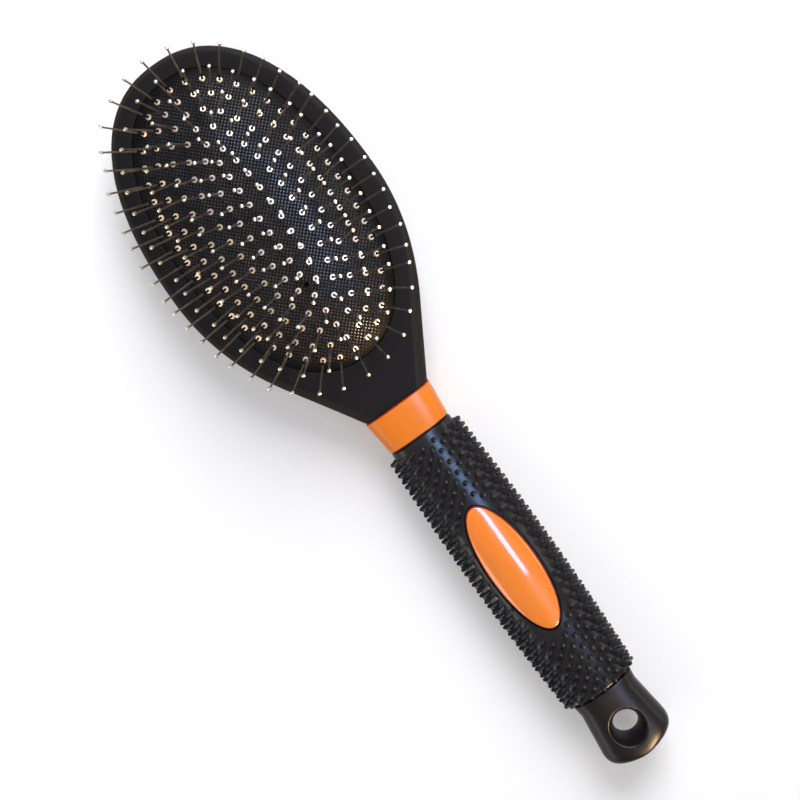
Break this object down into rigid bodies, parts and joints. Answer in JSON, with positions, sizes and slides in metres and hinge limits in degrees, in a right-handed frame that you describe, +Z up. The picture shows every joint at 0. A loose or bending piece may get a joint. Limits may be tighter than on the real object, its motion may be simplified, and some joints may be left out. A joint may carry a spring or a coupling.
{
  "type": "pin brush",
  "caption": "Oval pneumatic pin brush: domed rubber pad with ball-tipped steel pins, black head, orange collar and badge, studded rubber grip.",
  "frame": {"origin": "on the floor under the middle of the brush's length, the brush lying on its back", "axes": "+X along the brush from the handle to the head, +Y across it, +Z up along the pins"},
  "size_m": [0.2434, 0.0696, 0.045],
  "materials": {
    "body_abs": "soft-touch black coating on moulded ABS",
    "pad_rubber": "black rubber with a fine woven face",
    "pin_steel": "nickel-plated steel wire with ball tips",
    "orange_abs": "glossy orange moulding",
    "grip_rubber": "satin black rubber with pointed studs",
    "cap_abs": "semi-gloss brown-black moulding"
  },
  "bodies": {
    "brush": {"brush_body": "body_abs", "cushion_rim": "pad_rubber", "neck_collar": "orange_abs", "grip_sleeve": "grip_rubber", "badge": "orange_abs", "end_cap": "cap_abs"},
    "pad_centre": {"cushion_centre": "pad_rubber"},
    "pad_ring_1": {"cushion_ring_1": "pad_rubber"},
    "pad_ring_2": {"cushion_ring_2": "pad_rubber"},
    "pad_ring_3": {"cushion_ring_3": "pad_rubber"},
    "pad_ring_4": {"cushion_ring_4": "pad_rubber"},
    "pad_ring_5": {"cushion_ring_5": "pad_rubber"}
  },
  "joints": [
    {"name": "cushion_press", "type": "slide", "parent": "brush", "child": "pad_centre", "axis": [0, 0, -1], "range_m": [0, 0.005], "stiffness_N_per_m": 1500},
    {"name": "ring_1_press", "type": "slide", "parent": "brush", "child": "pad_ring_1", "axis": [0, 0, -1], "range_m": [0, 0.00483], "stiffness_N_per_m": 1500},
    {"name": "ring_2_press", "type": "slide", "parent": "brush", "child": "pad_ring_2", "axis": [0, 0, -1], "range_m": [0, 0.00434], "stiffness_N_per_m": 1500},
    {"name": "ring_3_press", "type": "slide", "parent": "brush", "child": "pad_ring_3", "axis": [0, 0, -1], "range_m": [0, 0.00357], "stiffness_N_per_m": 1500},
    {"name": "ring_4_press", "type": "slide", "parent": "brush", "child": "pad_ring_4", "axis": [0, 0, -1], "range_m": [0, 0.00253], "stiffness_N_per_m": 1500},
    {"name": "ring_5_press", "type": "slide", "parent": "brush", "child": "pad_ring_5", "axis": [0, 0, -1], "range_m": [0, 0.00133], "stiffness_N_per_m": 1500}
  ],
  "couplings": [
    {"joint": "ring_1_press", "follows": "cushion_press", "ratio": 0.967},
    {"joint": "ring_2_press", "follows": "cushion_press", "ratio": 0.868},
    {"joint": "ring_3_press", "follows": "cushion_press", "ratio": 0.713},
    {"joint": "ring_4_press", "follows": "cushion_press", "ratio": 0.507},
    {"joint": "ring_5_press", "follows": "cushion_press", "ratio": 0.265}
  ]
}
